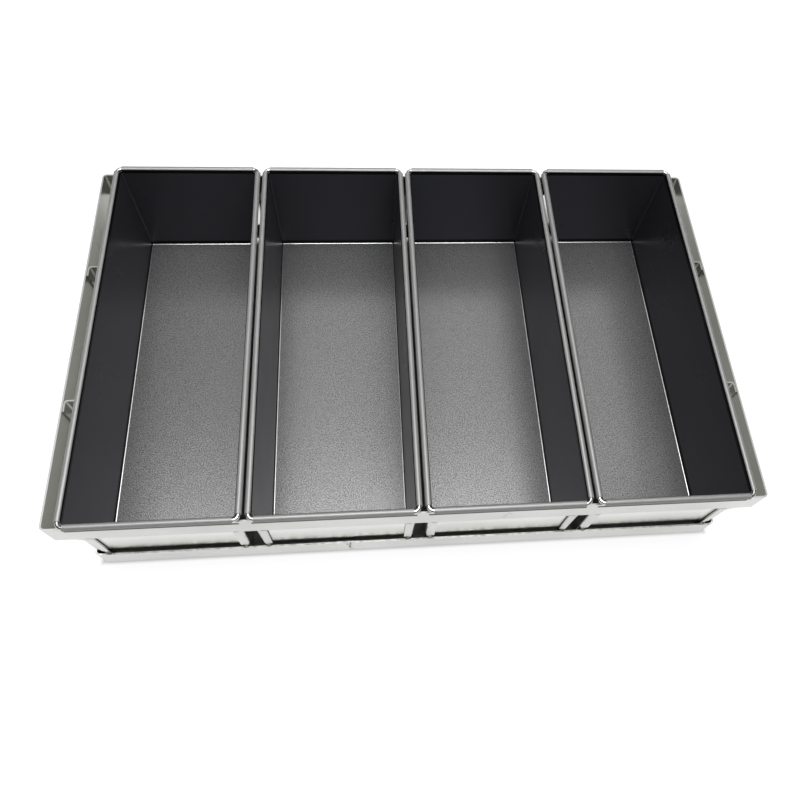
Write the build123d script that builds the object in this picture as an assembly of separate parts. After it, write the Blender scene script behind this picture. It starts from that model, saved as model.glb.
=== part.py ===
"""Strapped set of four pullman loaf pans: wired-rim sheet pans held by two straps and four end brackets."""
from build123d import *
import os

# Frame: X runs along the row of pans, Y along each pan, Z up, origin at the bottom centre of the set.
# All lengths are in millimetres, all angles in degrees.

# One pan
pan_count = 4
pan_length = 305.0        # over the curled rim, along Y
pan_width = 117.4         # over the curled rim, along X
pan_height = 97.0         # resting plane to the top of the rim
pan_sheet = 0.7
wall_draft = 1.6          # how far each wall leans in from the rim down to the base
corner_radius = 2.0       # upright corners, outside
base_radius = 1.8         # fold between base and walls, outside
pan_gap = 1.6             # between neighbouring rims

# Curled rim and its wire
wire_diameter = 3.2
wire_clearance = 0.05     # between the wire and the sheet curled round it
curl_angle = 298.0        # how far the sheet goes round the wire, from the inner wall over the top
corner_notch_depth = 0.5  # the wall is cut down this far below the wire's axis at each upright corner

# Upper strap
strap_sheet = 1.2
upper_strap_height = 23.0
upper_strap_radius = 3.2  # plan corners, outside
rim_clearance = 3.3       # strap's top edge below the curled rim
wall_clearance = 0.1      # strap's inner face off the pans' end walls
end_reach = 9.6           # strap's inner face beyond the outer pans' rims

# Legs cut from the upper strap, a pair on every pan's end walls
leg_width = 7.4           # front plate, over the bend
leg_flange_depth = 7.5    # turned-in flange beside the pan, over the bend
leg_bend_radius = 2.8     # outside
leg_clearance = 0.15      # flange off the pan's side wall
leg_foot_clearance = 0.55 # front plate off the pan's end wall, at the foot
leg_foot_height = 29.5    # foot edge above the resting plane
leg_foot_radius = 4.0     # rounded foot corner on the flange side
relief_height = 1.0       # slit at the root of each leg
relief_depth = 4.2
neck_width = 3.0          # tab from the foot down behind the lower strap
neck_radius = 0.8
neck_overlap = 9.0        # tab's reach below the lower strap's top edge
end_leg_width = 4.6       # the four outermost legs are narrower and flat
end_leg_inset = 7.1       # and stand this much further in
end_foot_radius = 3.6     # their foot corner away from the window
end_root_radius = 9.0     # sweep from the strap into them

# Lower strap
lower_strap_height = 20.0
lower_strap_lift = 4.5    # strap's lower edge above the resting plane
lower_strap_radius = 4.0  # plan corners, outside
weld_clearance = 0.15     # strap's inner face off the necks
lower_end_gap = 0.8       # strap's inner face off the outer pans' side walls
lap_place = -52.0         # end of the outer layer, along X
lap_length = 9.0          # how far the inner layer runs on behind it
joggle_length = 4.0       # over which the inner layer steps in

# End brackets
bracket_sheet = 1.2
bracket_height = 20.0
bracket_drop = 0.5        # top edge below the upper strap's top edge
bracket_place = 56.5      # web's rear face, along Y, from the middle of the set
bracket_flange = 9.0      # over the bend
bracket_bend_radius = 2.6 # outside
bracket_clearance = 0.1   # flanges off the strap and off the pan

overrun = 5.0             # how far a cut runs past what it cuts

# Sizes that follow
pitch = pan_width + pan_gap
wire_radius = wire_diameter / 2
curl_bore = wire_radius + wire_clearance
curl_radius = curl_bore + pan_sheet
rim_axis_height = pan_height - curl_radius
axis_width = pan_width - 2 * curl_radius
axis_length = pan_length - 2 * curl_radius
shell_width = axis_width - 2 * curl_bore
shell_length = axis_length - 2 * curl_bore
wire_corner_radius = corner_radius + curl_bore
row_width = pan_count * pitch - pan_gap
end_wall = shell_length / 2
upper_strap_top = rim_axis_height - curl_radius - rim_clearance
upper_strap_bottom = upper_strap_top - upper_strap_height
upper_inner_y = end_wall + wall_clearance
upper_inner_x = row_width / 2 + end_reach
lower_strap_top = lower_strap_lift + lower_strap_height
front_height = upper_strap_bottom - lower_strap_top + neck_overlap


def wall_inset(height):
    """How far a wall's outer face stands inside its place at the rim, at a height above the resting plane."""
    return wall_draft * (rim_axis_height - height) / rim_axis_height


def pan_centre(index):
    """Place of a pan along X, counted from 0 at the left."""
    return (index - (pan_count - 1) / 2) * pitch


leg_foot_y = end_wall - wall_inset(leg_foot_height) + leg_foot_clearance
leg_lean = (upper_inner_y - leg_foot_y) / (upper_strap_bottom - leg_foot_height)
lower_inner_y = upper_inner_y + strap_sheet - leg_lean * (upper_strap_bottom - lower_strap_top) + weld_clearance
outer_wall_x = pan_centre(pan_count - 1) + shell_width / 2
lower_inner_x = outer_wall_x - wall_inset(lower_strap_top) + lower_end_gap


def tapered_block(width, length, inset, radius, bottom, top):
    """Upright block with rounded corners whose foot is smaller than its top by the inset on every side."""
    foot = Pos(0, 0, bottom) * RectangleRounded(width - 2 * inset, length - 2 * inset, radius)
    head = Pos(0, 0, top) * RectangleRounded(width, length, radius)
    return loft([foot.face(), head.face()])


def pan_shell():
    """Base and four leaning walls, up to the height of the rim wire's axis, open at the top."""
    block = tapered_block(shell_width, shell_length, wall_draft, corner_radius, 0, rim_axis_height)
    block = fillet(block.faces().sort_by(Axis.Z)[0].edges(), base_radius)
    hollow = tapered_block(
        shell_width - 2 * pan_sheet,
        shell_length - 2 * pan_sheet,
        wall_inset(pan_sheet),
        corner_radius - pan_sheet,
        pan_sheet,
        rim_axis_height,
    )
    hollow = fillet(hollow.faces().sort_by(Axis.Z)[0].edges(), base_radius - pan_sheet)
    return block - hollow


def corner_notches():
    """Four blocks that cut the walls down at the upright corners, where the rim wire is bare."""
    side = 2 * wire_corner_radius
    block = Box(side, side, corner_notch_depth + overrun, align=(Align.CENTER, Align.CENTER, Align.MIN))
    places = GridLocations(axis_width, axis_length, 2, 2)
    return [Pos(0, 0, rim_axis_height - corner_notch_depth) * place * block for place in places]


def curl_run(length):
    """Sheet curled round the wire for one straight side, running along X with the pan's inside towards -Y."""
    start = 180 - curl_angle
    outer = CenterArc((0, 0), curl_radius, start, curl_angle)
    inner = CenterArc((0, 0), curl_bore, start, curl_angle)
    section = make_face([outer, inner, Line(outer @ 0, inner @ 0), Line(outer @ 1, inner @ 1)])
    return extrude(Plane.YZ * section, amount=length / 2, both=True)


def rim_curls():
    """The four curled sides of the rim, stopped where the wire starts to bend."""
    end_run = curl_run(axis_width - 2 * wire_corner_radius)
    side_run = curl_run(axis_length - 2 * wire_corner_radius)
    runs = []
    for turn in (0, 180):
        runs.append(Rot(0, 0, turn) * Pos(0, axis_length / 2, rim_axis_height) * end_run)
        runs.append(Rot(0, 0, turn + 90) * Pos(0, axis_width / 2, rim_axis_height) * side_run)
    return runs


def loaf_pan():
    """One pan: shell with notched corners and its curled rim."""
    shell = pan_shell()
    for notch in corner_notches():
        shell -= notch
    for run in rim_curls():
        shell += run
    return shell


def rim_wire():
    """Closed wire inside the curled rim, with the bends that show at the corners."""
    path = RectangleRounded(axis_width, axis_length, wire_corner_radius).wire()
    path = Pos(0, 0, rim_axis_height) * path
    section = Plane(origin=path @ 0, z_dir=path % 0) * Circle(wire_radius)
    return sweep(section, path)


def strap_ring(inner_x, inner_y, radius):
    """Plan section of a closed strap, from its inner half sizes."""
    inner = RectangleRounded(2 * inner_x, 2 * inner_y, radius - strap_sheet)
    outer = RectangleRounded(2 * (inner_x + strap_sheet), 2 * (inner_y + strap_sheet), radius)
    return outer - inner


def leg_section(reach, flanged):
    """Plan section of a leg at its root: window-side edge at X = 0, outer face at Y = 0, pan towards +Y."""
    plate = Pos(reach / 2, strap_sheet / 2) * Rectangle(reach, strap_sheet)
    if not flanged:
        return plate
    outer = Pos(reach / 2, leg_flange_depth / 2) * Rectangle(reach, leg_flange_depth)
    outer = fillet(outer.vertices().sort_by_distance((reach, 0))[0], leg_bend_radius)
    inner_x = reach - strap_sheet
    inner = Pos(inner_x / 2, strap_sheet + leg_flange_depth / 2) * Rectangle(inner_x, leg_flange_depth)
    inner = fillet(inner.vertices().sort_by_distance((inner_x, strap_sheet))[0], leg_bend_radius - strap_sheet)
    return outer - inner


def leg_outline(width, foot_radius, neck_middle):
    """Front outline of a leg, root at the strap's lower edge (Y = 0), window-side edge at X = 0."""
    foot_drop = upper_strap_bottom - leg_foot_height
    plate = Pos(width / 2, -foot_drop / 2) * Rectangle(width, foot_drop)
    plate = fillet(plate.vertices().sort_by_distance((width, -foot_drop))[0], foot_radius)
    neck_length = front_height - foot_drop + foot_radius
    neck = Pos(neck_middle, -front_height + neck_length / 2) * Rectangle(neck_width, neck_length)
    relief = Pos(relief_depth / 2, -relief_height / 2) * Rectangle(relief_depth, relief_height)
    return plate + neck - relief


def flanged_leg():
    """One leg with a turned-in flange, leaning with the pan's two walls down to its neck."""
    lean = (-wall_draft / rim_axis_height, leg_lean, -1)
    stem = extrude(leg_section(leg_width, flanged=True), amount=front_height * Vector(lean).length, dir=lean)
    outline = leg_outline(leg_width, leg_foot_radius, leg_width / 2)
    foot_drop = upper_strap_bottom - leg_foot_height
    crooks = [
        outline.vertices().sort_by_distance((leg_width / 2 + side * neck_width / 2, -foot_drop))[0]
        for side in (-1, 1)
    ]
    outline = fillet(crooks, neck_radius)
    depth = 2 * (leg_flange_depth + front_height * leg_lean)
    return stem & extrude(Plane.XZ * outline, amount=depth, both=True)


def flat_leg():
    """One outermost leg: narrow and flat, swept out of the strap, its neck on the window side."""
    reach = end_leg_width + end_root_radius
    lean = (0, leg_lean, -1)
    stem = extrude(leg_section(reach, flanged=False), amount=front_height * Vector(lean).length, dir=lean)
    outline = leg_outline(end_leg_width, end_foot_radius, neck_width / 2)
    middle = end_leg_width + end_root_radius / 2
    flare = Pos(middle, -end_root_radius / 2) * Rectangle(end_root_radius, end_root_radius)
    outline += flare - Pos(reach, -end_root_radius) * Circle(end_root_radius)
    depth = 2 * (strap_sheet + front_height * leg_lean)
    return stem & extrude(Plane.XZ * outline, amount=depth, both=True)


def front_legs():
    """All legs of the front side, in place: a mirrored pair on every pan, the two outermost set further in."""
    edge = shell_width / 2 - wall_inset(upper_strap_bottom) + leg_clearance + strap_sheet
    inner_leg = Pos(edge - leg_width, 0, 0) * flanged_leg()
    end_leg = Pos(edge - end_leg_inset - end_leg_width, 0, 0) * flat_leg()
    legs = []
    for index in range(pan_count):
        for side in (-1, 1):
            outermost = (index == 0 and side < 0) or (index == pan_count - 1 and side > 0)
            placed = end_leg if outermost else inner_leg
            if side < 0:
                placed = mirror(placed, Plane.YZ)
            legs.append(Pos(pan_centre(index), -upper_inner_y - strap_sheet, upper_strap_bottom) * placed)
    return legs


def upper_strap():
    """Closed band under the rims with the legs of both long sides."""
    band = extrude(strap_ring(upper_inner_x, upper_inner_y, upper_strap_radius), amount=upper_strap_height)
    band = Pos(0, 0, upper_strap_bottom) * band
    legs = front_legs()
    rear = [Rot(0, 0, 180) * piece for piece in legs]
    return band + legs + rear


def lower_strap():
    """Closed band round the feet, its two ends lapped and stepped at the front."""
    ring = strap_ring(lower_inner_x, lower_inner_y, lower_strap_radius)
    face_y = -lower_inner_y
    step_end = lap_place + joggle_length
    opening = Pos((lap_place + step_end) / 2, face_y - strap_sheet / 2) * Rectangle(joggle_length, 2 * strap_sheet)
    tongue = Polyline(
        (step_end, face_y - strap_sheet),
        (lap_place, face_y),
        (lap_place - lap_length, face_y),
        (lap_place - lap_length, face_y + strap_sheet),
        (lap_place, face_y + strap_sheet),
        (step_end, face_y),
        close=True,
    )
    band = extrude(ring - opening + make_face(tongue), amount=lower_strap_height)
    return Pos(0, 0, lower_strap_lift) * band


def end_bracket():
    """Bracket of the right end, front place: one flange on the strap, the web across, one flange on the pan."""
    pan_face = outer_wall_x - wall_inset(upper_strap_top) + bracket_clearance
    strap_face = upper_inner_x - bracket_clearance
    web_front = -bracket_place - bracket_sheet
    path = FilletPolyline(
        (strap_face - bracket_sheet / 2, web_front + bracket_sheet - bracket_flange),
        (strap_face - bracket_sheet / 2, web_front + bracket_sheet / 2),
        (pan_face + bracket_sheet / 2, web_front + bracket_sheet / 2),
        (pan_face + bracket_sheet / 2, web_front + bracket_flange),
        radius=bracket_bend_radius - bracket_sheet / 2,
    )
    section = trace(path, line_width=bracket_sheet)
    bottom = upper_strap_top - bracket_drop - bracket_height
    return Pos(0, 0, bottom) * extrude(section, amount=bracket_height)


def build():
    """Every named piece, in place."""
    nodes = {}
    pan = loaf_pan()
    wire = rim_wire()
    for index in range(pan_count):
        place = Pos(pan_centre(index), 0, 0)
        nodes[f"pan_{index + 1}"] = place * pan
        nodes[f"rim_wire_{index + 1}"] = place * wire
    nodes["upper_strap"] = upper_strap()
    nodes["lower_strap"] = lower_strap()
    bracket = end_bracket()
    between = Pos(0, 2 * bracket_place + bracket_sheet, 0)
    nodes["bracket_right_front"] = bracket
    nodes["bracket_right_rear"] = between * bracket
    nodes["bracket_left_front"] = mirror(bracket, Plane.YZ)
    nodes["bracket_left_rear"] = mirror(between * bracket, Plane.YZ)
    return nodes


os.makedirs("parts", exist_ok=True)
for name, piece in build().items():
    export_step(piece, f"parts/{name}.step")
    print(name, len(piece.solids()), round(piece.volume, 1))
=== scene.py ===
"""Looks, light and camera for a strapped set of four deep loaf pans.

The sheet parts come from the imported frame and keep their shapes. This script gives them their
finishes, adds the weld marks that hold the set together, and stands it on a white table under
soft overhead lamps. Lengths are in metres, angles in degrees.
"""
from __future__ import annotations

import logging
import math
from dataclasses import dataclass, field
from enum import Enum
from typing import NamedTuple

import bpy
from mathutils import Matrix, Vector

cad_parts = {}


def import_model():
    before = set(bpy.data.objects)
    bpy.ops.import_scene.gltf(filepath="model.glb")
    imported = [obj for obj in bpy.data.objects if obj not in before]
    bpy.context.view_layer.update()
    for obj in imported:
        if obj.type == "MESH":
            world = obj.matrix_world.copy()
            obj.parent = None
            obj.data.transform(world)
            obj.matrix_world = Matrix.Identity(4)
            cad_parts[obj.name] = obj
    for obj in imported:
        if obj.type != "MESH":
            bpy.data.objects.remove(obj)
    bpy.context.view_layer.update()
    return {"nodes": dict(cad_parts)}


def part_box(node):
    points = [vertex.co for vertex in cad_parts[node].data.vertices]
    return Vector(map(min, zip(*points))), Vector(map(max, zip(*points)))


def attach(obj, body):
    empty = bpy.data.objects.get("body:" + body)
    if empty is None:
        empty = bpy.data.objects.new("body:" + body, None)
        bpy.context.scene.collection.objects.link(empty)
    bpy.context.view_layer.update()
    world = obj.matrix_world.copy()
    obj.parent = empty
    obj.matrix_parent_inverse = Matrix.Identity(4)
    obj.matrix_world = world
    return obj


LOG = logging.getLogger("loaf_pans")
ROOT = "root"
MM = 0.001
PAN_COUNT = 4
PITCH = 119.0 * MM
NUMBER = "NodeSocketFloat"
VECTOR = "NodeSocketVector"

Colour = tuple[float, float, float]
Span = tuple[float, float]
Socket = bpy.types.NodeSocket

UNIT: Span = (0.0, 1.0)
FALLING: Span = (1.0, 0.0)


class Slot(Enum):
    """A material slot name of the record, which this script doesn't use."""

    STRAP = "strap_steel"


class Side(Enum):
    """The two long sides of the set, by the way their outside faces along Y."""

    FRONT = -1
    REAR = 1


# Shader helpers


class Mix(Enum):
    """What a Mix node mixes: its data type, and the places of its inputs and of its output."""

    COLOURS = ("RGBA", (0, 6, 7), 2)
    NUMBERS = ("FLOAT", (0, 2, 3), 0)


class Parts(NamedTuple):
    """Sockets of the three parts of a vector."""

    x: Socket
    y: Socket
    z: Socket


class ShaderTree:
    """Shorthand for building one shader node tree."""

    def __init__(self, tree: bpy.types.NodeTree) -> None:
        """Keep the tree to build in.

        Args:
            tree: The node tree of a material, of a world or of a group.
        """
        self.tree = tree

    def add(self, kind: str, **settings: object) -> bpy.types.Node:
        """Add one node.

        Args:
            kind: Node type name.
            settings: Node properties to set.

        Returns:
            The new node.
        """
        node = self.tree.nodes.new(kind)
        for name, value in settings.items():
            setattr(node, name, value)
        return node

    def fill(self, socket: Socket, value: object) -> None:
        """Link a socket to an input, or set a plain value on it.

        Args:
            socket: Input to fill.
            value: Socket, number or colour.
        """
        if isinstance(value, Socket):
            self.tree.links.new(value, socket)
        elif socket.type == "RGBA":
            socket.default_value = (*value, 1.0)
        else:
            socket.default_value = value

    def feed(self, node: bpy.types.Node, **inputs: object) -> bpy.types.Node:
        """Fill a node's inputs by name.

        Args:
            node: Node whose inputs are fed.
            inputs: Input names, with underscores for spaces, and a socket or a value for each.

        Returns:
            The same node.
        """
        for name, value in inputs.items():
            self.fill(node.inputs[name.replace("_", " ")], value)
        return node

    def maths(self, operation: str, *terms: object, clamp: bool = False) -> Socket:
        """Add a Math node.

        Args:
            operation: Math operation name.
            terms: Up to three sockets or numbers.
            clamp: Whether the result is held between 0 and 1.

        Returns:
            The result's socket.
        """
        node = self.add("ShaderNodeMath", operation=operation, use_clamp=clamp)
        for socket, term in zip(node.inputs, terms):
            self.fill(socket, term)
        return node.outputs["Value"]

    def product(self, first: Socket, *others: object) -> Socket:
        """Multiply two or more values.

        Args:
            first: The first factor.
            others: The other factors, as sockets or numbers.

        Returns:
            The product's socket.
        """
        result = first
        for factor in others:
            result = self.maths("MULTIPLY", result, factor)
        return result

    def inverse(self, mask: Socket) -> Socket:
        """Swap the 0 and the 1 of a mask.

        Args:
            mask: Socket of the mask.

        Returns:
            The swapped mask's socket.
        """
        return self.maths("SUBTRACT", 1.0, mask)

    def split(self, vector: Socket) -> Parts:
        """Take a vector apart.

        Args:
            vector: Socket of the vector.

        Returns:
            Sockets of its X, Y and Z.
        """
        node = self.feed(self.add("ShaderNodeSeparateXYZ"), Vector=vector)
        return Parts(node.outputs["X"], node.outputs["Y"], node.outputs["Z"])

    def remap(self, value: Socket, old: Span, new: Span = UNIT) -> Socket:
        """Map a value from one range to another, held within the new one.

        Args:
            value: Socket to map.
            old: Range that the value comes in.
            new: Range that it leaves in.

        Returns:
            The mapped value's socket.
        """
        node = self.add("ShaderNodeMapRange", clamp=True)
        ends = {"From_Min": old[0], "From_Max": old[1], "To_Min": new[0], "To_Max": new[1]}
        return self.feed(node, Value=value, **ends).outputs["Result"]

    def mix(self, kind: Mix, *values: object) -> Socket:
        """Add a Mix node.

        Args:
            kind: What it mixes.
            values: Share, first value and second value, as sockets or plain values.

        Returns:
            The result's socket.
        """
        data_type, inputs, output = kind.value
        node = self.add("ShaderNodeMix", data_type=data_type)
        for index, value in zip(inputs, values):
            self.fill(node.inputs[index], value)
        return node.outputs[output]

    def blend(self, share: object, first: object, second: object) -> Socket:
        """Mix two colours.

        Args:
            share: Socket or number, 0 for the first colour and 1 for the second.
            first: Socket or colour.
            second: Socket or colour.

        Returns:
            The mixed colour's socket.
        """
        return self.mix(Mix.COLOURS, share, first, second)

    def mix_number(self, share: object, first: object, second: object) -> Socket:
        """Mix two numbers.

        Args:
            share: Socket or number, 0 for the first value and 1 for the second.
            first: Socket or number.
            second: Socket or number.

        Returns:
            The mixed number's socket.
        """
        return self.mix(Mix.NUMBERS, share, first, second)

    def group(self, tree: bpy.types.NodeTree, **inputs: object) -> bpy.types.Node:
        """Place a shared node group and feed its inputs.

        Args:
            tree: The group's tree.
            inputs: As in feed.

        Returns:
            The group's node.
        """
        return self.feed(self.add("ShaderNodeGroup", node_tree=tree), **inputs)

    def place(self) -> Socket:
        """Object coordinates of a surface point.

        Returns:
            The coordinates' socket.
        """
        return self.add("ShaderNodeTexCoord").outputs["Object"]

    def facing(self) -> Socket:
        """Way that the flat face at a surface point looks.

        Returns:
            The true normal's socket.
        """
        return self.add("ShaderNodeNewGeometry").outputs["True Normal"]


@dataclass(frozen=True)
class Noise:
    """Noise texture of one character.

    Attributes:
        detail: How many finer octaves it has.
        roughness: How strong they are.
        distortion: How far they pull it about.
    """

    detail: float
    roughness: float = 0.5
    distortion: float = 0.0

    def add(self, kit: ShaderTree, vector: Socket, scale: object) -> Socket:
        """Add the texture to a tree.

        Args:
            kit: The tree's helper.
            vector: Place to read it at.
            scale: Features per metre, as a socket or a number.

        Returns:
            The socket of its strength.
        """
        node = kit.add("ShaderNodeTexNoise")
        kit.feed(node, Vector=vector, Scale=scale, Detail=self.detail)
        kit.feed(node, Roughness=self.roughness, Distortion=self.distortion)
        return node.outputs["Fac"]


def new_group(
    name: str, inputs: dict[str, str], outputs: tuple[str, ...]
) -> tuple[ShaderTree, bpy.types.Node, bpy.types.Node]:
    """Start a shader node group with named sockets.

    Args:
        name: The group's name.
        inputs: Socket type of each input, by name.
        outputs: Names of its outputs, which are all numbers.

    Returns:
        The tree's helper, its input node and its output node.
    """
    tree = bpy.data.node_groups.new(name, "ShaderNodeTree")
    for socket_name, kind in inputs.items():
        tree.interface.new_socket(socket_name, in_out="INPUT", socket_type=kind)
    for socket_name in outputs:
        tree.interface.new_socket(socket_name, in_out="OUTPUT", socket_type=NUMBER)
    kit = ShaderTree(tree)
    return kit, kit.add("NodeGroupInput"), kit.add("NodeGroupOutput")


@dataclass
class SurfaceEffects:
    """Node groups that several finishes share, each built once.

    Attributes:
        pebbles: Pebbles of the baked coating.
        cell_scale: Cells per pebble.
        cell_relief: Height of the cells, where that of the pebbles is 1.
        dust: Specks in the coating.
        dust_scale: Specks per pebble.
        dust_range: Strengths between which a speck turns from dark to bright.
        lines: Rolling lines.
        patches: Handling patches.
        patch_range: Strengths between which a patch turns from clean to worn.
        breaks: Breaks in an edge's painted highlight.
        breaks_per_metre: How many there are.
        breaks_range: Strengths between which the edge turns from dull to bright.
        least_highlight: Brightness that is left in a break.
    """

    pebbles: Noise = Noise(2.0, roughness=0.55)
    cell_scale: float = 0.7
    cell_relief: float = 0.35
    dust: Noise = Noise(1.0)
    dust_scale: float = 1.6
    dust_range: Span = (0.38, 0.62)
    lines: Noise = Noise(3.0, roughness=0.6)
    patches: Noise = Noise(2.0, distortion=0.3)
    patch_range: Span = (0.28, 0.72)
    breaks: Noise = Noise(3.0)
    breaks_per_metre: float = 260.0
    breaks_range: Span = (0.35, 0.6)
    least_highlight: float = 0.2

    def __post_init__(self) -> None:
        """Build the groups."""
        self.orange_peel = self._orange_peel()
        self.rolled_grain = self._rolled_grain()
        self.handling = self._handling()
        self.edge_highlight = self._edge_highlight()

    def _orange_peel(self) -> bpy.types.NodeTree:
        """Fine pebbled relief of a sprayed and baked coating, with stray bright and dark specks.

        Returns:
            The group's tree.
        """
        inputs = {"Vector": VECTOR, "Pebble Size": NUMBER}
        kit, inside, out = new_group("orange_peel", inputs, ("Height", "Fleck"))
        place = inside.outputs["Vector"]
        per_metre = kit.maths("DIVIDE", 1.0, inside.outputs["Pebble Size"])
        pebbles = self.pebbles.add(kit, place, per_metre)
        cells = kit.add("ShaderNodeTexVoronoi", feature="F1")
        kit.feed(cells, Vector=place, Scale=kit.product(per_metre, self.cell_scale))
        cell_relief = kit.product(cells.outputs["Distance"], self.cell_relief)
        dust = self.dust.add(kit, place, kit.product(per_metre, self.dust_scale))
        height = kit.maths("ADD", pebbles, cell_relief)
        kit.feed(out, Height=height, Fleck=kit.remap(dust, self.dust_range))
        return kit.tree

    def _rolled_grain(self) -> bpy.types.NodeTree:
        """Faint lines that a rolling mill leaves along a strip, on front and end faces alike.

        Returns:
            The group's tree.
        """
        inputs = {"Vector": VECTOR, "Line Width": NUMBER, "Line Length": NUMBER}
        kit, inside, out = new_group("rolled_grain", inputs, ("Height",))
        along_row, along_pan, height = kit.split(inside.outputs["Vector"])
        along = kit.maths("ADD", along_row, along_pan)
        run = kit.maths("DIVIDE", along, inside.outputs["Line Length"])
        across = kit.maths("DIVIDE", height, inside.outputs["Line Width"])
        place = kit.feed(kit.add("ShaderNodeCombineXYZ"), X=run, Y=across).outputs["Vector"]
        kit.feed(out, Height=self.lines.add(kit, place, 1.0))
        return kit.tree

    def _handling(self) -> bpy.types.NodeTree:
        """Broad uneven patches, as wiping and handling leave them.

        Returns:
            The group's tree.
        """
        inputs = {"Vector": VECTOR, "Patch Size": NUMBER}
        kit, inside, out = new_group("handling", inputs, ("Patches",))
        per_metre = kit.maths("DIVIDE", 1.0, inside.outputs["Patch Size"])
        patches = self.patches.add(kit, inside.outputs["Vector"], per_metre)
        kit.feed(out, Patches=kit.remap(patches, self.patch_range))
        return kit.tree

    def _edge_highlight(self) -> bpy.types.NodeTree:
        """Painted highlight: a band round a level where an edge is painted bright, broken up
        along its length.

        Returns:
            The group's tree.
        """
        inputs = {"Vector": VECTOR, "Level": NUMBER, "Reach": NUMBER}
        kit, inside, out = new_group("edge_highlight", inputs, ("Rubbed",))
        place = inside.outputs["Vector"]
        above = kit.maths("SUBTRACT", kit.split(place).z, inside.outputs["Level"])
        away = kit.maths("DIVIDE", kit.maths("ABSOLUTE", above), inside.outputs["Reach"])
        near = kit.maths("SUBTRACT", 1.0, away, clamp=True)
        breaks = self.breaks.add(kit, place, self.breaks_per_metre)
        broken = kit.remap(breaks, self.breaks_range, (self.least_highlight, 1.0))
        kit.feed(out, Rubbed=kit.product(near, broken))
        return kit.tree


def across_pan(kit: ShaderTree, along_row: Socket) -> Socket:
    """Distance along X from the middle of the pan that a point belongs to.

    Args:
        kit: The material's tree.
        along_row: Place along X.

    Returns:
        The distance's socket, with its sign.
    """
    half = PITCH / 2
    return kit.maths("WRAP", kit.maths("ADD", along_row, half), half, -half)


def start_material(name: str) -> tuple[bpy.types.Material, ShaderTree, bpy.types.Node]:
    """Start a material with an empty Principled surface.

    Args:
        name: The material's name.

    Returns:
        The material, its tree's helper and its Principled node.
    """
    material = bpy.data.materials.new(name)
    material.use_nodes = True
    material.node_tree.nodes.clear()
    kit = ShaderTree(material.node_tree)
    surface = kit.add("ShaderNodeBsdfPrincipled")
    output = kit.add("ShaderNodeOutputMaterial")
    kit.feed(output, Surface=surface.outputs["BSDF"])
    return material, kit, surface


# Finishes


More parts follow.
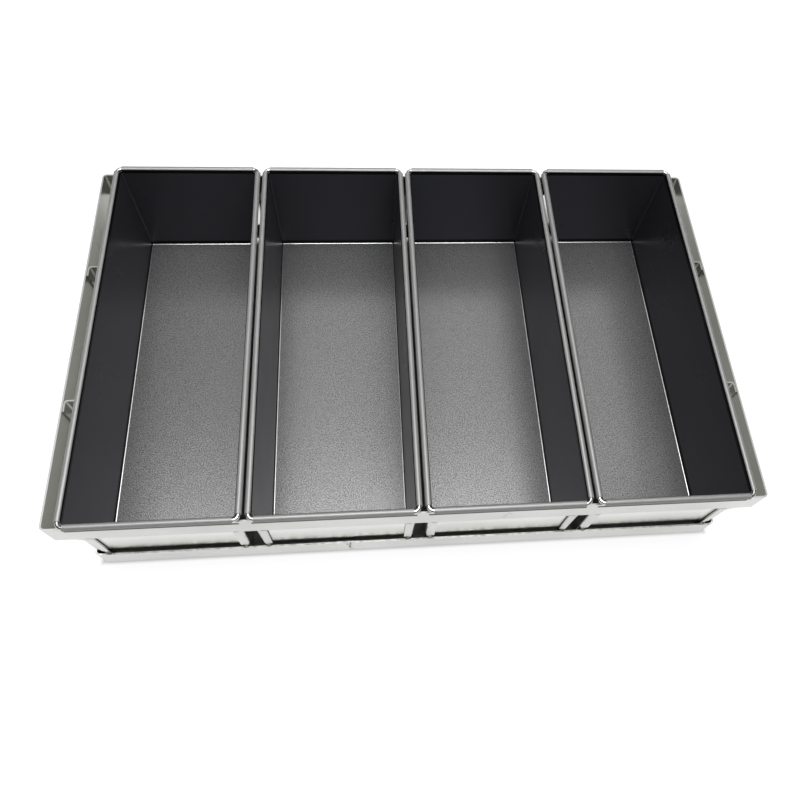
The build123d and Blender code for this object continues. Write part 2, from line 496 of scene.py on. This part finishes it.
@dataclass(frozen=True)
class BareSteel:
    """Bare aluminised strip: light, satin, with faint rolling lines and dull sheared edges.

    One edge carries a painted highlight. Painted shade darkens the faces that look at the pans,
    near black low down. A thin dark line under the rims stands for their shade.

    Attributes:
        edge_level: Height of the edge with a painted highlight, the lower strap's upper one.
        end_from: Distance from the middle past which a face belongs to an end of the set.
        face_reach: Distance from the middle to just behind the straps' long outside faces.
        straight_reach: Half the length along which those faces run straight.
        rim_reach: Half the length of the painted shade line below one rim.
    """

    name: str = "strap_steel_bare"
    clean: Colour = (0.61, 0.61, 0.60)
    dulled: Colour = (0.54, 0.54, 0.52)
    roughness: Span = (0.22, 0.34)
    line_width: float = 0.35 * MM
    line_length: float = 60.0 * MM
    line_range: Span = (0.3, 0.7)
    line_share: float = 0.35
    patch_size: float = 70.0 * MM
    relief: float = 0.06
    relief_depth: float = 0.1 * MM
    sheared: Colour = (0.48, 0.48, 0.47)
    sheared_roughness: float = 0.58
    sheared_tilt: float = 0.9
    edge_level: float = 24.3 * MM
    edge_reach: float = 0.8 * MM
    # Painted highlight colour for the lower strap's upper edge.
    highlight_colour: Colour = (0.85, 0.85, 0.84)
    # Painted shade colours for the faces that look at the pans, near black low down.
    shaded: Colour = (0.26, 0.26, 0.232)
    shaded_low: Colour = (0.03, 0.03, 0.028)
    shade_heights: Span = (24.0 * MM, 60.0 * MM)
    inward_tilt: float = -0.5
    end_from: float = 230.0 * MM
    face_reach: float = 149.05 * MM
    straight_reach: float = 225.0 * MM
    rim_shade: Colour = (0.03, 0.03, 0.03)
    rim_shade_rise: Span = (82.8 * MM, 83.6 * MM)
    rim_shade_fade: Span = (85.4 * MM, 86.6 * MM)
    rim_reach: float = 55.5 * MM

    def build(self, effects: SurfaceEffects) -> bpy.types.Material:
        """Make the material.

        Args:
            effects: Shared node groups.

        Returns:
            The finished material.
        """
        material, kit, surface = start_material(self.name)
        place = kit.place()
        patches = kit.group(effects.handling, Vector=place, Patch_Size=self.patch_size)
        worn = patches.outputs["Patches"]
        grain = kit.group(effects.rolled_grain, Vector=place)
        kit.feed(grain, Line_Width=self.line_width, Line_Length=self.line_length)
        lines = grain.outputs["Height"]
        highlight_group = kit.group(effects.edge_highlight, Vector=place)
        kit.feed(highlight_group, Level=self.edge_level, Reach=self.edge_reach)
        rubbed = highlight_group.outputs["Rubbed"]

        lined = kit.remap(lines, self.line_range, (0.0, self.line_share))
        open_face = kit.blend(lined, kit.blend(worn, self.clean, self.dulled), self.dulled)
        # Painted shade: a thin dark line right under each rim.
        rim_shade_line = self.under_rim(kit, place)
        open_face = kit.blend(rim_shade_line, open_face, self.rim_shade)
        edge = self.sheared_mask(kit, rubbed)
        open_face = kit.blend(edge, open_face, self.sheared)

        # Painted shade on the faces that look at the pans or lie behind a lap.
        inward, height = self.inward_mask(kit, place)
        raised = kit.remap(height, self.shade_heights)
        inward_shade = kit.blend(raised, self.shaded_low, self.shaded)
        # Painted shade, not metal: the line under the rims and the inward faces low down.
        dark_shade = kit.maths("MAXIMUM", rim_shade_line, kit.product(inward, kit.inverse(raised)))
        # Painted highlight along the lower strap's upper edge.
        highlight_share = kit.product(rubbed, kit.inverse(inward))
        colour = kit.blend(highlight_share, kit.blend(inward, open_face, inward_shade), self.highlight_colour)

        smooth = kit.remap(worn, UNIT, self.roughness)
        rough = kit.mix_number(kit.maths("MAXIMUM", edge, dark_shade), smooth, self.sheared_roughness)
        bump = kit.add("ShaderNodeBump")
        kit.feed(bump, Strength=self.relief, Distance=self.relief_depth, Height=lines)
        kit.feed(surface, Base_Color=colour, Metallic=kit.inverse(dark_shade), Roughness=rough)
        kit.feed(surface, Normal=bump.outputs["Normal"])
        return material

    def inward_mask(self, kit: ShaderTree, place: Socket) -> tuple[Socket, Socket]:
        """Mask of the faces that look towards the pans or lie behind a lap.

        Args:
            kit: The material's tree.
            place: Object coordinates.

        Returns:
            Socket that is 1 on such faces and 0 elsewhere, and the socket of the height.
        """
        along_row, along_pan, height = kit.split(place)
        facing_row, facing_pan, _ = kit.split(kit.facing())
        from_middle = kit.maths("ABSOLUTE", along_row)
        at_end = kit.maths("GREATER_THAN", from_middle, self.end_from)
        endward = kit.product(facing_row, kit.maths("SIGN", along_row), at_end)
        sideward = kit.product(facing_pan, kit.maths("SIGN", along_pan))
        outward = kit.maths("ADD", endward, sideward)
        inward = kit.maths("LESS_THAN", outward, self.inward_tilt)
        behind = kit.maths("LESS_THAN", kit.maths("ABSOLUTE", along_pan), self.face_reach)
        straight = kit.maths("LESS_THAN", from_middle, self.straight_reach)
        low = kit.maths("LESS_THAN", height, self.edge_level + self.edge_reach)
        return kit.maths("MAXIMUM", inward, kit.product(behind, straight, low)), height

    def under_rim(self, kit: ShaderTree, place: Socket) -> Socket:
        """Mask of the painted shade line that the rims cast along the upper strap's long faces.

        Args:
            kit: The material's tree.
            place: Object coordinates.

        Returns:
            Socket that is 1 right under a rim and 0 elsewhere.
        """
        along_row, _, height = kit.split(place)
        from_pan = kit.maths("ABSOLUTE", across_pan(kit, along_row))
        beside = kit.maths("LESS_THAN", from_pan, self.rim_reach)
        last_rim = (PAN_COUNT - 1) / 2 * PITCH + self.rim_reach
        within = kit.maths("LESS_THAN", kit.maths("ABSOLUTE", along_row), last_rim)
        rise = kit.remap(height, self.rim_shade_rise)
        fade = kit.remap(height, self.rim_shade_fade, FALLING)
        return kit.product(beside, within, rise, fade)

    def sheared_mask(self, kit: ShaderTree, rubbed: Socket) -> Socket:
        """Mask of the narrow faces that the shears left on top of the strips.

        Args:
            kit: The material's tree.
            highlight: Mask of the edge with the painted highlight, which is bright again.

        Returns:
            Socket that is 1 on sheared edges and 0 elsewhere.
        """
        level = kit.maths("GREATER_THAN", kit.split(kit.facing()).z, self.sheared_tilt)
        return kit.product(level, kit.inverse(rubbed))


@dataclass(frozen=True)
class PanSheet:
    """Pan sheet: dark baked release coating inside, bare aluminised steel outside.

    The floor is painted paler than the walls, in fine flecks that are also the coating's speckle.
    Painted shade darkens the fold round it, which has a thin painted highlight line, the coat
    just under the rim and the bare outer walls low down. The coating stops under the rim, which
    is dull bare metal. A tilt is the upright part of a face's normal.

    Attributes:
        coat_edge: Height at which the coating stops.
        brink_depth: How far below that edge its painted shade begins.
        floor_tilts: Tilts between which a wall turns into the floor.
        fold_shade_heights: Heights between which the painted shade in the fold ends.
        highlight_rise: Tilts between which the painted highlight line begins.
        highlight_fade: Tilts between which it ends.
        notch_tilt: Tilt past which a face is coated even where it looks away from the pan.
        rim_foot: Height above which the sheet is curled.
        middle_height: Height of a pan's middle, which the coated faces look at.
    """

    name: str = "pan_sheet_coated"
    coat: Colour = (0.080, 0.080, 0.081)
    # Painted light: the floor's flecks, also the coating's speckle, make it paler than the walls.
    coat_speckle_and_floor_light: Colour = (0.250, 0.250, 0.250)
    coat_metallic: float = 0.52
    coat_upright: Colour = (0.080, 0.081, 0.094)
    coat_upright_metallic: float = 0.62
    # Painted shade colour for the fold round the floor and the brink under the rim.
    coat_shade: Colour = (0.012, 0.012, 0.013)
    # Painted highlight colour for the line along the floor's fillet.
    coat_highlight: Colour = (0.50, 0.50, 0.49)
    coat_specular: float = 0.05
    coat_roughness: Span = (0.27, 0.30)
    coat_relief: float = 0.05
    coat_edge: float = 96.0 * MM
    coat_fade: float = 0.3 * MM
    brink_depth: float = 3.6 * MM
    floor_tilts: Span = (0.55, 0.85)
    fold_shade_heights: Span = (4.2 * MM, 6.0 * MM)
    highlight_rise: Span = (0.80, 0.88)
    highlight_fade: Span = (0.985, 0.998)
    notch_tilt: float = 0.95
    wall: Colour = (0.70, 0.70, 0.69)
    wall_dulled: Colour = (0.62, 0.62, 0.60)
    # Painted shade colour for the bare outer walls low down.
    wall_low_shade: Colour = (0.38, 0.38, 0.325)
    wall_shade_heights: Span = (29.0 * MM, 54.0 * MM)
    wall_roughness: float = 0.18
    rim: Colour = (0.34, 0.34, 0.335)
    rim_dulled: Colour = (0.27, 0.27, 0.265)
    rim_metallic: float = 0.45
    rim_roughness: float = 0.40
    rim_foot: float = 92.1 * MM
    pebble_size: float = 1.25 * MM
    patch_size: float = 55.0 * MM
    line_width: float = 0.4 * MM
    line_length: float = 50.0 * MM
    line_relief: float = 0.3
    relief_depth: float = 0.25 * MM
    middle_height: float = 48.0 * MM

    def inside_mask(self, kit: ShaderTree, place: Socket) -> Socket:
        """Mask of the faces that look into a pan, up to where the coating stops under the rim.

        Args:
            kit: The material's tree.
            place: Object coordinates.

        Returns:
            Socket that is 1 on the coated side and 0 elsewhere.
        """
        along_row, along_pan, height = kit.split(place)
        upward = kit.maths("SUBTRACT", height, self.middle_height)
        outward = kit.add("ShaderNodeCombineXYZ")
        kit.feed(outward, X=across_pan(kit, along_row), Y=along_pan, Z=upward)
        normal = kit.facing()
        facing = kit.add("ShaderNodeVectorMath", operation="DOT_PRODUCT")
        kit.fill(facing.inputs[0], outward.outputs["Vector"])
        kit.fill(facing.inputs[1], normal)
        looks_in = kit.maths("LESS_THAN", facing.outputs["Value"], 0.0)
        notch_floor = kit.maths("GREATER_THAN", kit.split(normal).z, self.notch_tilt)
        ends = (self.coat_edge, self.coat_edge + self.coat_fade)
        below_rim = kit.remap(height, ends, FALLING)
        return kit.product(kit.maths("MAXIMUM", looks_in, notch_floor), below_rim)

    def floor_masks(self, kit: ShaderTree, height: Socket) -> tuple[Socket, Socket, Socket]:
        """Masks of a pan's floor, of the painted shade in the fold round it and of the painted
        highlight line between them.

        Args:
            kit: The material's tree.
            height: Height of the surface point.

        Returns:
            Sockets of the three masks, each 1 in its own zone.
        """
        tilt = kit.split(kit.add("ShaderNodeNewGeometry").outputs["Normal"]).z
        floor = kit.remap(tilt, self.floor_tilts)
        low = kit.remap(height, self.fold_shade_heights, FALLING)
        rising = kit.remap(tilt, self.highlight_rise)
        flattening = kit.remap(tilt, self.highlight_fade, FALLING)
        return floor, kit.product(low, kit.inverse(floor)), kit.product(rising, flattening, low)

    def build(self, effects: SurfaceEffects) -> bpy.types.Material:
        """Make the material.

        Args:
            effects: Shared node groups.

        Returns:
            The finished material.
        """
        material, kit, surface = start_material(self.name)
        place = kit.place()
        height = kit.split(place).z
        inside = self.inside_mask(kit, place)
        floor, fold_shade, rubbed = self.floor_masks(kit, height)
        curled = kit.maths("GREATER_THAN", height, self.rim_foot)
        peel = kit.group(effects.orange_peel, Vector=place, Pebble_Size=self.pebble_size)
        patches = kit.group(effects.handling, Vector=place, Patch_Size=self.patch_size)
        worn = patches.outputs["Patches"]
        grain = kit.group(effects.rolled_grain, Vector=place)
        kit.feed(grain, Line_Width=self.line_width, Line_Length=self.line_length)
        lines = grain.outputs["Height"]

        # Painted light: the level floor is paler than the upright walls of the same coating; its
        # flecks are also the coating's own speckle.
        flecked = kit.blend(peel.outputs["Fleck"], self.coat, self.coat_speckle_and_floor_light)
        coat = kit.blend(floor, self.coat_upright, flecked)
        # Painted shade: the coat turns near black in the fold round the floor and just under the
        # rim.
        brink_foot = self.coat_edge - self.brink_depth
        brink_shade = kit.remap(height, (brink_foot, brink_foot + 2 * self.coat_fade))
        coat = kit.blend(kit.maths("MAXIMUM", fold_shade, brink_shade), coat, self.coat_shade)
        # Painted highlight: a thin bright line along the floor's fillet.
        coat = kit.blend(rubbed, coat, self.coat_highlight)
        coat_metal = kit.mix_number(floor, self.coat_upright_metallic, self.coat_metallic)
        coat_metal = kit.maths("MAXIMUM", rubbed, coat_metal)
        coat_rough = kit.remap(worn, UNIT, self.coat_roughness)

        # Painted shade: the bare outer walls darken towards the lower strap.
        low = kit.remap(height, self.wall_shade_heights, FALLING)
        wall = kit.blend(low, kit.blend(worn, self.wall, self.wall_dulled), self.wall_low_shade)
        rim = kit.blend(lines, self.rim, self.rim_dulled)
        bare_metal = kit.mix_number(curled, 1.0, self.rim_metallic)
        bare_rough = kit.mix_number(curled, self.wall_roughness, self.rim_roughness)

        peel_height = kit.product(peel.outputs["Height"], inside, floor)
        line_height = kit.product(lines, self.line_relief, kit.inverse(inside))
        relief = kit.maths("ADD", peel_height, line_height)
        bump = kit.add("ShaderNodeBump")
        kit.feed(bump, Strength=self.coat_relief, Distance=self.relief_depth, Height=relief)
        kit.feed(
            surface,
            Base_Color=kit.blend(inside, kit.blend(curled, wall, rim), coat),
            Metallic=kit.mix_number(inside, bare_metal, coat_metal),
            Roughness=kit.mix_number(inside, bare_rough, coat_rough),
            Specular_IOR_Level=self.coat_specular,
            Normal=bump.outputs["Normal"],
        )
        return material


@dataclass(frozen=True)
class DrawnWire:
    """Bright drawn wire with a little tarnish."""

    name: str = "rim_wire_drawn"
    bright: Colour = (0.60, 0.60, 0.59)
    tarnish: Colour = (0.40, 0.39, 0.37)
    tarnish_share: float = 0.6
    patch_size: float = 4.0 * MM
    roughness: Span = (0.12, 0.22)

    def build(self, effects: SurfaceEffects) -> bpy.types.Material:
        """Make the material.

        Args:
            effects: Shared node groups.

        Returns:
            The finished material.
        """
        material, kit, surface = start_material(self.name)
        patches = kit.group(effects.handling, Vector=kit.place(), Patch_Size=self.patch_size)
        worn = patches.outputs["Patches"]
        colour = kit.blend(kit.product(worn, self.tarnish_share), self.bright, self.tarnish)
        smooth = kit.remap(worn, UNIT, self.roughness)
        kit.feed(surface, Base_Color=colour, Metallic=1.0, Roughness=smooth)
        return material


@dataclass(frozen=True)
class WeldMetal:
    """Spot and tack welds: grey, slightly pitted metal with a heat tint."""

    name: str = "weld_metal"
    grey: Colour = (0.46, 0.45, 0.43)
    tint: Colour = (0.09, 0.08, 0.07)
    metallic: float = 0.7
    roughness: Span = (0.30, 0.50)
    pit_size: float = 0.8 * MM
    patch_size: float = 1.6 * MM
    relief: float = 0.8
    relief_depth: float = 0.25 * MM

    def build(self, effects: SurfaceEffects) -> bpy.types.Material:
        """Make the material.

        Args:
            effects: Shared node groups.

        Returns:
            The finished material.
        """
        material, kit, surface = start_material(self.name)
        place = kit.place()
        pits = kit.group(effects.orange_peel, Vector=place, Pebble_Size=self.pit_size)
        patches = kit.group(effects.handling, Vector=place, Patch_Size=self.patch_size)
        tinted = patches.outputs["Patches"]
        bump = kit.add("ShaderNodeBump")
        kit.feed(bump, Strength=self.relief, Distance=self.relief_depth)
        kit.feed(bump, Height=pits.outputs["Height"])
        kit.feed(
            surface,
            Base_Color=kit.blend(tinted, self.grey, self.tint),
            Metallic=self.metallic,
            Roughness=kit.remap(tinted, UNIT, self.roughness),
            Normal=bump.outputs["Normal"],
        )
        return material


@dataclass(frozen=True)
class TablePatch:
    """An oblong of the table with soft edges.

    Attributes:
        middle: Its middle along X.
        halfwidth: Half its width along X.
        span: Its near and far ends along Y.
        fade: Width of its soft edge.
    """

    middle: float
    halfwidth: float
    span: Span
    fade: float

    def mask(self, kit: ShaderTree, across: Socket, along: Socket) -> Socket:
        """Build the patch's mask.

        Args:
            kit: The material's tree.
            across: Place along X.
            along: Place along Y.

        Returns:
            Socket that is 1 in the patch and 0 elsewhere.
        """
        near, far = self.span
        aside = kit.maths("ABSOLUTE", kit.maths("SUBTRACT", across, self.middle))
        beside = kit.remap(aside, (self.halfwidth, self.halfwidth + self.fade), FALLING)
        begins = kit.remap(along, (near - self.fade, near))
        ends = kit.remap(along, (far, far + self.fade), FALLING)
        return kit.product(beside, begins, ends)


@dataclass(frozen=True)
class TableWhite:
    """White table top that glows where it is seen or mirrored, but not below the set.

    Attributes:
        covered: Half the length and half the width of the part below the set.
        slit_shadow: Painted shadow on the table, seen through the gap between the two middle
            pans.
        dimmed: Part behind the set without glow for mirrored rays, a painted shade that the metal
            in that gap mirrors.
    """

    name: str = "table_white"
    colour: Colour = (0.27, 0.27, 0.27)
    shadowed: Colour = (0.02, 0.02, 0.02)
    roughness: float = 0.9
    glow_colour: Colour = (1.0, 1.0, 1.0)
    shown_glow: float = 0.80
    mirrored_glow: float = 0.82
    covered: tuple[float, float] = (232.0 * MM, 146.0 * MM)
    fade: float = 6.0 * MM
    slit_shadow: TablePatch = TablePatch(7.2 * MM, 1.5 * MM, (168.0 * MM, 206.0 * MM), 1.5 * MM)
    dimmed: TablePatch = TablePatch(5.0 * MM, 35.0 * MM, (140.0 * MM, 222.0 * MM), 10.0 * MM)

    def open_mask(self, kit: ShaderTree, across: Socket, along: Socket) -> Socket:
        """Mask of the table outside the set.

        Args:
            kit: The material's tree.
            across: Place along X.
            along: Place along Y.

        Returns:
            Socket that is 1 on the open table and 0 below the set.
        """
        past_ends = kit.maths("SUBTRACT", kit.maths("ABSOLUTE", across), self.covered[0])
        past_sides = kit.maths("SUBTRACT", kit.maths("ABSOLUTE", along), self.covered[1])
        return kit.remap(kit.maths("MAXIMUM", past_ends, past_sides), (0.0, self.fade))

    def build(self) -> bpy.types.Material:
        """Make the material.

        Returns:
            The finished material.
        """
        material, kit, surface = start_material(self.name)
        across, along, _ = kit.split(kit.place())
        rays = kit.add("ShaderNodeLightPath")
        # Painted shade in reflections: no glow for mirrored rays in the dimmed patch.
        dim = self.dimmed.mask(kit, across, along)
        mirrored_glow = kit.remap(dim, UNIT, (self.mirrored_glow, 0.0))
        mirrored = kit.product(rays.outputs["Is Glossy Ray"], mirrored_glow)
        shown = kit.product(rays.outputs["Is Camera Ray"], self.shown_glow)
        # Painted shadow: a near black strip without glow behind the gap between the middle pans.
        shade = self.slit_shadow.mask(kit, across, along)
        lit = kit.product(self.open_mask(kit, across, along), kit.inverse(shade))
        kit.feed(
            surface,
            Base_Color=kit.blend(shade, self.colour, self.shadowed),
            Roughness=self.roughness,
            Emission_Color=self.glow_colour,
            Emission_Strength=kit.product(kit.maths("ADD", shown, mirrored), lit),
        )
        return material


# Making pieces


def clear_selection() -> None:
    """Leave edit mode and deselect every object."""
    if bpy.context.object and bpy.context.object.mode != "OBJECT":
        bpy.ops.object.mode_set(mode="OBJECT")
    bpy.ops.object.select_all(action="DESELECT")


def settle(piece: bpy.types.Object, name: str, finish: bpy.types.Material) -> None:
    """Put a finished piece's place into its mesh, dress it and let it ride.

    Args:
        piece: The piece, still with its own place and turn.
        name: Name for the piece.
        finish: Its material.
    """
    clear_selection()
    piece.select_set(True)
    bpy.context.view_layer.objects.active = piece
    bpy.ops.object.transform_apply(location=True, rotation=True, scale=True)
    piece.name = name
    piece.data.name = name
    piece.data.materials.clear()
    piece.data.materials.append(finish)
    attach(piece, ROOT)
    LOG.info("%s: %d faces", name, len(piece.data.polygons))


def assign(node: bpy.types.Object, finish: bpy.types.Material) -> None:
    """Give a CAD node one finish in all its material slots.

    Args:
        node: The CAD node's object.
        finish: Material to show.
    """
    if not node.material_slots:
        node.data.materials.append(finish)
    for slot in node.material_slots:
        slot.material = finish


@dataclass
class WeldBlobs:
    """Tack welds: one lumpy drop, shaped once and copied to every place.

    Attributes:
        finish: Weld metal.
        size: Diameters of the drop along X, Y and Z.
        segments: Faces round it.
        rings: Faces from pole to pole.
        lump: Depth of its lumps.
        lump_size: Width of its lumps.
        lump_middle: Share of their depth that pushes inward.
    """

    finish: bpy.types.Material
    size: tuple[float, float, float] = (3.4 * MM, 1.7 * MM, 2.6 * MM)
    segments: int = 16
    rings: int = 10
    lump: float = 0.35 * MM
    lump_size: float = 1.6 * MM
    lump_middle: float = 0.4

    def drop(self) -> bpy.types.Object:
        """Shape one drop at the origin.

        Returns:
            The drop, as a pattern to copy.
        """
        clear_selection()
        bpy.ops.mesh.primitive_uv_sphere_add(
            segments=self.segments, ring_count=self.rings, radius=0.5, location=(0, 0, 0)
        )
        drop = bpy.context.object
        bpy.ops.object.mode_set(mode="EDIT")
        bpy.ops.mesh.select_all(action="SELECT")
        bpy.ops.transform.resize(value=self.size)
        bpy.ops.object.mode_set(mode="OBJECT")
        lumps = bpy.data.textures.new("weld_lumps", "CLOUDS")
        lumps.noise_scale = self.lump_size
        swell = drop.modifiers.new("lumps", "DISPLACE")
        swell.texture = lumps
        swell.strength = self.lump
        swell.mid_level = self.lump_middle
        bpy.ops.object.modifier_apply(modifier=swell.name)
        bpy.ops.object.shade_smooth()
        return drop

    def place(self, spots: dict[str, tuple[Vector, float]]) -> None:
        """Copy the drop to every spot.

        Args:
            spots: Place and scale of each weld, by name.
        """
        pattern = self.drop()
        for name, (where, scale) in spots.items():
            weld = pattern.copy()
            weld.data = pattern.data.copy()
            bpy.context.scene.collection.objects.link(weld)
            weld.location, weld.scale = where, (scale, scale, scale)
            settle(weld, name, self.finish)
        bpy.data.objects.remove(pattern)


@dataclass
class LoafPanSet:
    """The four pans with their rim wires."""

    effects: SurfaceEffects
    sheet: PanSheet = field(default_factory=PanSheet)
    wire: DrawnWire = field(default_factory=DrawnWire)

    def dress(self, nodes: dict[str, bpy.types.Object]) -> None:
        """Give the pans and the wires their finishes.

        Args:
            nodes: CAD nodes by name.
        """
        sheet = self.sheet.build(self.effects)
        wire = self.wire.build(self.effects)
        for number in range(1, PAN_COUNT + 1):
            assign(nodes[f"pan_{number}"], sheet)
            assign(nodes[f"rim_wire_{number}"], wire)
        LOG.info("pans and rim wires: %d of each", PAN_COUNT)


def bracket_finish() -> BareSteel:
    """Finish of the end brackets, with colours darker than the straps' as painted shade.

    Returns:
        The finish.
    """
    # Painted shade: the brackets sit in the gap between band and pan and take darker colours than
    # the straps.
    clean, sheared = (0.40, 0.40, 0.37), (0.38, 0.38, 0.37)
    return BareSteel(name="bracket_steel_shaded", clean=clean, sheared=sheared)


@dataclass
class StrapWork:
    """The two straps, the end brackets and the welds that join them.

    Attributes:
        neck_from_middle: Distance of a neck from its pan's middle.
        end_neck_from_middle: The same for the outermost necks.
        neck_sink: How far behind the lower strap's face a neck's weld has its middle.
        neck_lift: How far above that strap it has it.
        front_dots: Welds on the straps' front faces: X and Z in millimetres, and scale.
    """

    effects: SurfaceEffects
    steel: BareSteel = field(default_factory=BareSteel)
    bracket_steel: BareSteel = field(default_factory=bracket_finish)
    neck_from_middle: float = 51.2 * MM
    end_neck_from_middle: float = 45.4 * MM
    neck_sink: float = 1.0 * MM
    neck_lift: float = 0.3 * MM
    neck_scale: float = 1.2
    front_dots: dict[str, tuple[tuple[float, float, float], ...]] = field(
        default_factory=lambda: {
            "lower_strap": ((-53.6, 21.0, 0.45), (-52.0, 13.0, 0.5), (-52.2, 17.0, 0.4)),
            "upper_strap": (
                (58.0, 71.5, 0.28),
                (59.2, 75.5, 0.3),
                (60.6, 79.5, 0.28),
                (62.6, 77.0, 0.25),
            ),
        }
    )

    def neck_places(self) -> list[float]:
        """Places along X of the eight necks of one side.

        Returns:
            The necks' middles, from left to right.
        """
        places = []
        last = PAN_COUNT - 1
        for index in range(PAN_COUNT):
            centre = (index - last / 2) * PITCH
            for way in (-1, 1):
                outermost = (index, way) in ((0, -1), (last, 1))
                reach = self.end_neck_from_middle if outermost else self.neck_from_middle
                places.append(centre + way * reach)
        return places

    def dress(self, nodes: dict[str, bpy.types.Object]) -> None:
        """Give straps and brackets their finish.

        Args:
            nodes: CAD nodes by name.
        """
        steel = self.steel.build(self.effects)
        bracket_steel = self.bracket_steel.build(self.effects)
        for name, node in nodes.items():
            if "strap" in name:
                assign(node, steel)
                LOG.info("%s: bare steel", name)
            elif "bracket" in name:
                assign(node, bracket_steel)
                LOG.info("%s: stained steel", name)

    def weld(self, finish: bpy.types.Material) -> None:
        """Tack every neck to the lower strap, and put the dots on the straps' front faces.

        Args:
            finish: Weld metal.
        """
        low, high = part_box("lower_strap")
        spots = {}
        for side in Side:
            face = low.y if side is Side.FRONT else high.y
            depth = face - side.value * self.neck_sink
            for number, across in enumerate(self.neck_places(), start=1):
                where = Vector((across, depth, high.z + self.neck_lift))
                spots[f"neck_weld_{side.name.lower()}_{number}"] = (where, self.neck_scale)
        for strap, dots in self.front_dots.items():
            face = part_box(strap)[0].y
            for number, (across, up, scale) in enumerate(dots, start=1):
                where = Vector((across * MM, face, up * MM))
                spots[f"{strap}_seam_weld_{number}"] = (where, scale)
        WeldBlobs(finish).place(spots)


# Setting


@dataclass
class Table:
    """Plain white surface that the set stands on."""

    side: float = 8.0
    finish: TableWhite = field(default_factory=TableWhite)

    def build(self) -> None:
        """Lay the table at the set's foot."""
        clear_selection()
        bpy.ops.mesh.primitive_plane_add(size=self.side, location=(0.0, 0.0, 0.0))
        table = bpy.context.object
        table.name = "table"
        table.data.materials.append(self.finish.build())


@dataclass(frozen=True)
class LampPanel:
    """One soft rectangular lamp that hangs level and shines down."""

    name: str
    place: tuple[float, float, float]
    size: tuple[float, float]
    radiance: float
    spread: float = 180.0

    def build(self) -> None:
        """Hang the lamp."""
        lamp = bpy.data.lights.new(self.name, "AREA")
        lamp.shape = "RECTANGLE"
        lamp.size, lamp.size_y = self.size
        lamp.spread = math.radians(self.spread)
        lamp.energy = self.radiance * math.pi * self.size[0] * self.size[1]
        holder = bpy.data.objects.new(self.name, lamp)
        holder.location = self.place
        bpy.context.scene.collection.objects.link(holder)


@dataclass
class SoftLight:
    """Soft lamps overhead, brightest above the middle, in a dim room that shows as white."""

    room: Colour = (0.15, 0.15, 0.155)
    backdrop: Colour = (1.0, 1.0, 1.0)
    lamps: tuple[LampPanel, ...] = (
        LampPanel("overhead_key", (0.16, -0.04, 1.5), (0.84, 0.75), 7.4),
        LampPanel("overhead_front", (0.35, -0.95, 1.5), (0.9, 0.5), 3.4),
        LampPanel("overhead_fill", (-0.55, -0.04, 1.5), (0.6, 0.75), 1.3, spread=70.0),
        LampPanel("overhead_rear", (0.25, 0.85, 1.5), (1.5, 1.03), 1.6),
    )

    def build(self) -> None:
        """Hang the lamps and set the room's level."""
        world = bpy.data.worlds.new("room")
        bpy.context.scene.world = world
        world.use_nodes = True
        kit = ShaderTree(world.node_tree)
        rays = kit.add("ShaderNodeLightPath")
        shown = kit.blend(rays.outputs["Is Camera Ray"], self.room, self.backdrop)
        kit.feed(world.node_tree.nodes["Background"], Color=shown)
        for lamp in self.lamps:
            lamp.build()


@dataclass
class ViewingCamera:
    """Camera at the viewing angle of the reference picture."""

    place: tuple[float, float, float] = (-0.03677, -0.29635, 0.57626)
    turn: tuple[float, float, float] = (27.5293, -5.1046, -4.2903)
    lens: float = 33.22
    sensor: float = 36.0
    shift: tuple[float, float] = (-0.0623, -0.0304)

    def build(self) -> None:
        """Make the camera and use it."""
        data = bpy.data.cameras.new("view")
        data.lens = self.lens
        data.sensor_width = self.sensor
        data.shift_x, data.shift_y = self.shift
        camera = bpy.data.objects.new("view", data)
        camera.location = self.place
        camera.rotation_euler = [math.radians(angle) for angle in self.turn]
        bpy.context.scene.collection.objects.link(camera)
        bpy.context.scene.camera = camera


def main() -> None:
    """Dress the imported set, light it and point the camera at it."""
    logging.basicConfig(level=logging.INFO, format="%(name)s: %(message)s")
    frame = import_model()
    nodes = frame["nodes"]
    effects = SurfaceEffects()
    LoafPanSet(effects).dress(nodes)
    straps = StrapWork(effects)
    straps.dress(nodes)
    straps.weld(WeldMetal().build(effects))
    Table().build()
    SoftLight().build()
    ViewingCamera().build()
    bpy.context.scene.view_settings.view_transform = "Standard"


if __name__ == "__main__":
    main()
